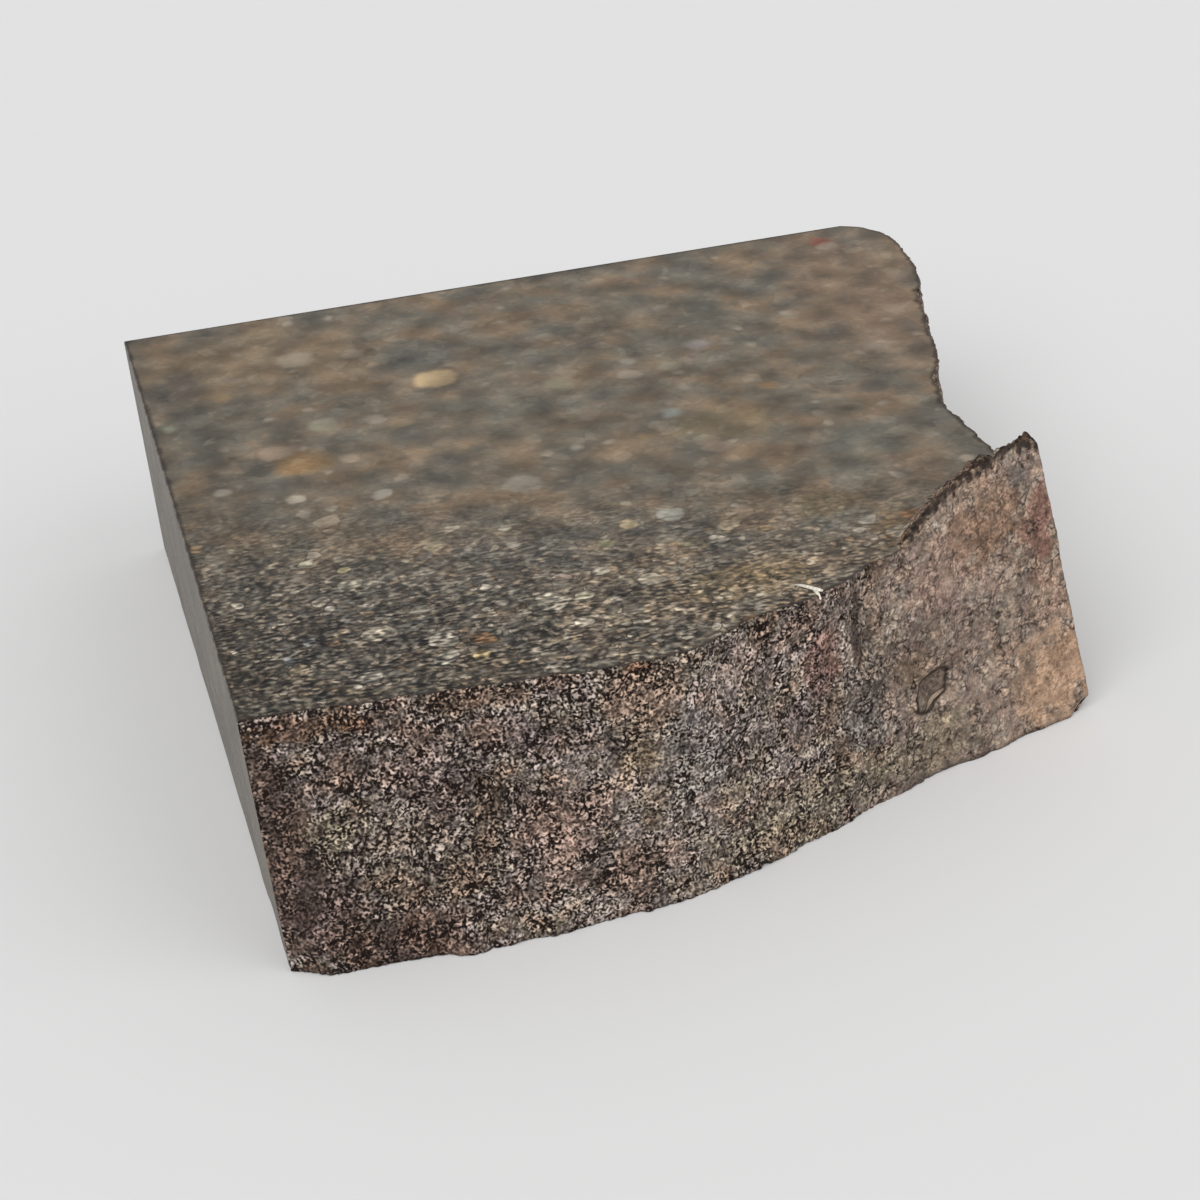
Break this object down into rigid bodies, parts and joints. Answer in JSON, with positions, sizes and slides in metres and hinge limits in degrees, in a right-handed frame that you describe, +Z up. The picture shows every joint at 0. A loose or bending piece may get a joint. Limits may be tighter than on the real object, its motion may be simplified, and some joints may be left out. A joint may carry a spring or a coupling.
{
  "type": "chondrite meteorite slice",
  "caption": "Thick sawn slice of a chondrite meteorite: flat cut face showing chondrules, rough natural front and side walls, and a raised broken lip at one corner.",
  "frame": {"origin": "middle of the flat sawn underside, taken from the slab's bounding box", "axes": "+Z up out of the cut face, +Y from the natural front wall to the sawn back, +X from the sawn left end to the broken right side and its lip"},
  "size_m": [0.0382, 0.0392, 0.0137],
  "materials": {
    "stone": "grey-brown stone: cut face sawn smooth with pale and rusty chondrules in a dark matrix, other sawn faces plain grey, natural walls coarse, matt and mottled brown"
  },
  "bodies": {
    "root": {"slab": "stone"}
  },
  "joints": []
}
